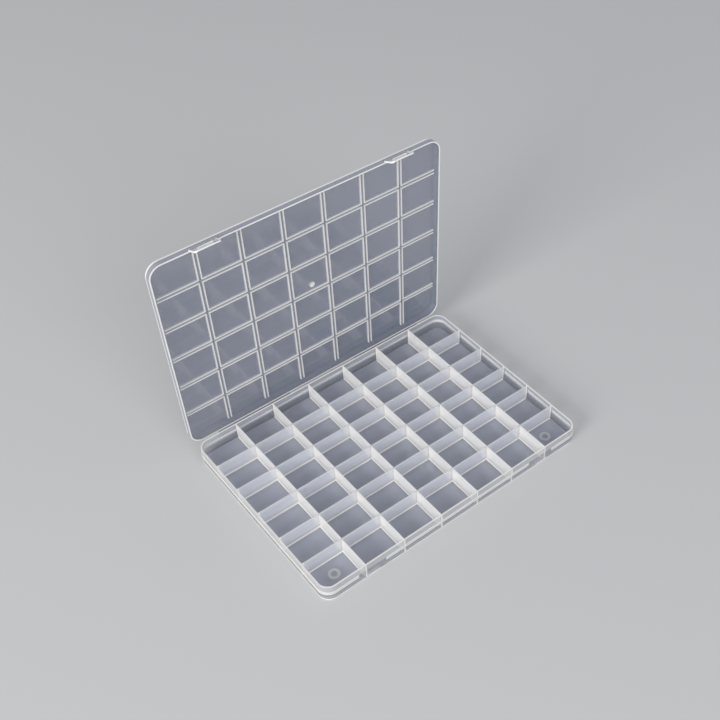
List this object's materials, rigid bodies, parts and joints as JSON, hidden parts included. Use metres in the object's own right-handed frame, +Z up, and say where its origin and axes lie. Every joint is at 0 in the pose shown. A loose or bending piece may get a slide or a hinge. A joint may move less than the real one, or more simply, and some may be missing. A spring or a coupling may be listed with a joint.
{
  "type": "compartment storage organizer",
  "caption": "Flat clear plastic compartment box: a tray parted into small cells and a hinged lid with snap latches, standing open.",
  "frame": {"origin": "centre of the tray's flat underside", "axes": "+X along the hinge, to the right as seen from the latches; +Y from the latches to the hinge; +Z up"},
  "size_m": [0.2122, 0.1604, 0.1678],
  "materials": {
    "tray_plastic": "milky clear polypropylene, smooth",
    "divider_plastic": "milky clear polypropylene, smooth",
    "lid_plastic": "milky clear polypropylene, polished",
    "rib_plastic": "milky clear polypropylene, bright edges",
    "hinge_plastic": "milky clear polypropylene, flexed film hinge",
    "latch_plastic": "milky clear polypropylene, smooth"
  },
  "bodies": {
    "tray": {"tray_shell": "tray_plastic", "long_divider_1": "divider_plastic", "long_divider_2": "divider_plastic", "long_divider_3": "divider_plastic", "long_divider_4": "divider_plastic", "long_divider_5": "divider_plastic", "long_divider_6": "divider_plastic", "cross_divider_1": "divider_plastic", "cross_divider_2": "divider_plastic", "cross_divider_3": "divider_plastic", "cross_divider_4": "divider_plastic", "cross_divider_5": "divider_plastic", "floor_ring_front_left": "tray_plastic", "floor_ring_front_right": "tray_plastic", "floor_ring_rear_left": "tray_plastic", "floor_ring_rear_right": "tray_plastic", "latch_lug_left": "latch_plastic", "latch_lug_right": "latch_plastic", "hinge_leaf_tray_left": "hinge_plastic", "hinge_leaf_tray_right": "hinge_plastic"},
    "lid": {"lid_shell": "lid_plastic", "lid_rib_long_1": "rib_plastic", "lid_rib_long_2": "rib_plastic", "lid_rib_long_3": "rib_plastic", "lid_rib_long_4": "rib_plastic", "lid_rib_long_5": "rib_plastic", "lid_rib_long_6": "rib_plastic", "lid_rib_cross_1": "rib_plastic", "lid_rib_cross_2": "rib_plastic", "lid_rib_cross_3": "rib_plastic", "lid_rib_cross_4": "rib_plastic", "lid_rib_cross_5": "rib_plastic", "hinge_leaf_lid_left": "hinge_plastic", "hinge_leaf_lid_right": "hinge_plastic"},
    "latch_left": {"latch_tongue_left": "latch_plastic"},
    "latch_right": {"latch_tongue_right": "latch_plastic"}
  },
  "joints": [
    {"name": "lid_hinge", "type": "hinge", "parent": "tray", "child": "lid", "pos_m": [0, 0.078, 0.009], "axis": [-1, 0, 0], "range_deg": [-88.5, 91.5]},
    {"name": "latch_flex_left", "type": "hinge", "parent": "lid", "child": "latch_left", "pos_m": [-0.07, 0.07405, 0.16375], "axis": [-1, 0, 0], "range_deg": [-25, 10], "stiffness_Nm_per_rad": 0.002},
    {"name": "latch_flex_right", "type": "hinge", "parent": "lid", "child": "latch_right", "pos_m": [0.07, 0.07405, 0.16375], "axis": [-1, 0, 0], "range_deg": [-25, 10], "stiffness_Nm_per_rad": 0.002}
  ]
}
